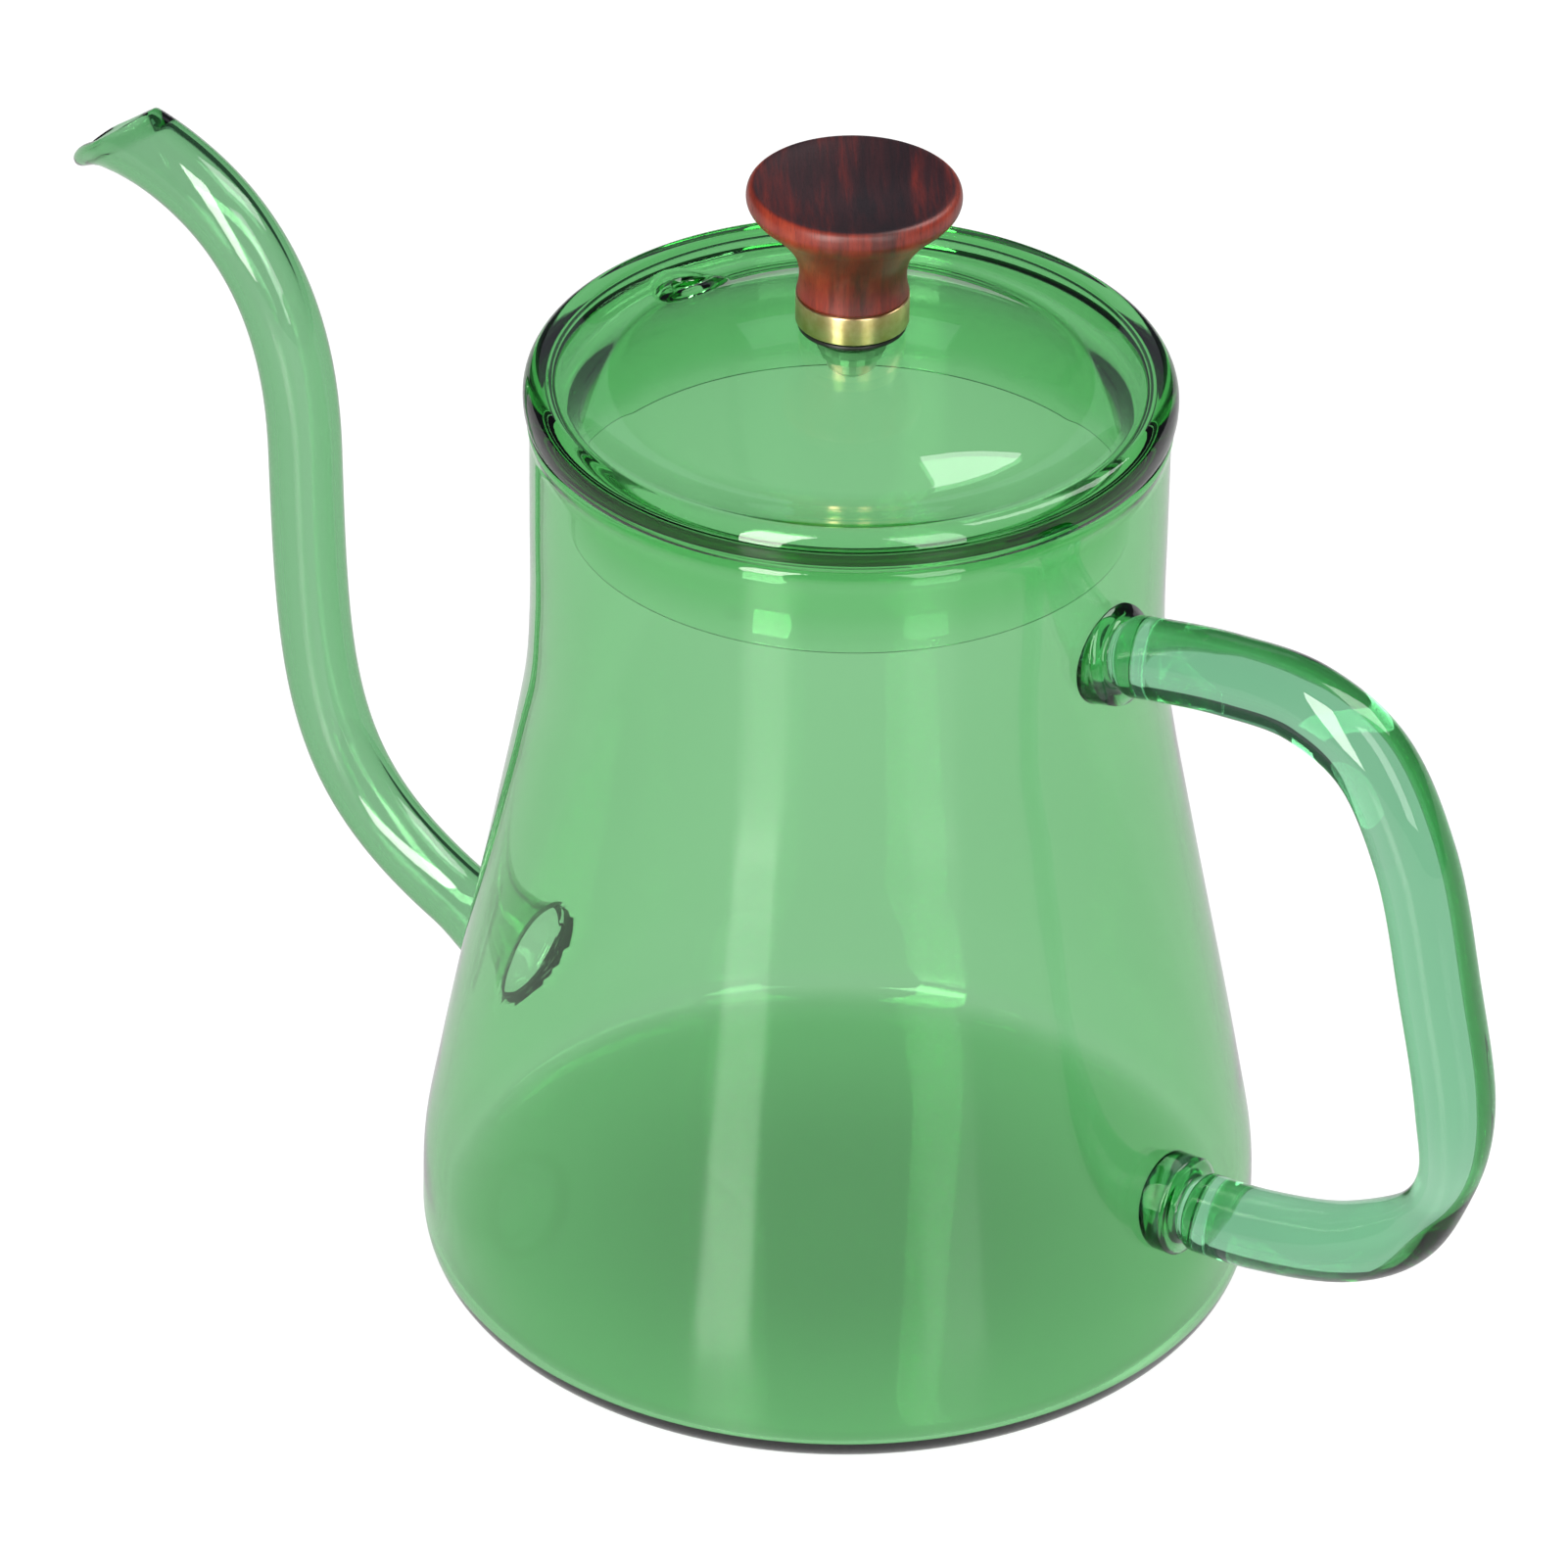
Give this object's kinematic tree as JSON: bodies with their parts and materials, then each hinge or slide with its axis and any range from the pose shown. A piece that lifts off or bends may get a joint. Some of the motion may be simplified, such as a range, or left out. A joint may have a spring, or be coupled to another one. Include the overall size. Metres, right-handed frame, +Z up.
{
  "type": "gooseneck kettle",
  "caption": "Small clear green glass pour-over kettle with a slim gooseneck spout, a bent rod handle and a lift-off domed lid with a turned wooden knob.",
  "frame": {"origin": "middle of the flat base, on the surface the kettle stands on", "axes": "+Z up along the axis of the body and the lid, +X towards the handle, -X towards the spout"},
  "size_m": [0.2229, 0.109, 0.1576],
  "materials": {
    "body_glass": "clear green glass, fire polished",
    "rod_glass": "clear green glass rod, fire polished",
    "lid_glass": "clear green glass, fire polished",
    "rosewood": "satin, oiled",
    "brass": "finely turned",
    "steel": "plain stainless",
    "dark_silicone": "matte",
    "clear_silicone": "satin, translucent"
  },
  "bodies": {
    "kettle": {"kettle_body": "body_glass", "spout_tube": "body_glass", "handle_rod": "rod_glass"},
    "knob": {"knob_wood": "rosewood", "knob_ferrule": "brass", "knob_insert": "brass", "knob_screw": "steel", "washer_above_glass": "dark_silicone", "washer_below_glass": "clear_silicone", "washer_steel": "steel"},
    "lid": {"lid_glass": "lid_glass"}
  },
  "joints": [
    {"name": "lid_lift", "type": "slide", "parent": "kettle", "child": "knob", "axis": [0, 0, 1], "range_m": [0, 0.05]},
    {"name": "lid_turn", "type": "hinge", "parent": "knob", "child": "lid", "pos_m": [0, 0, 0.13], "axis": [0, 0, 1], "continuous": true}
  ]
}
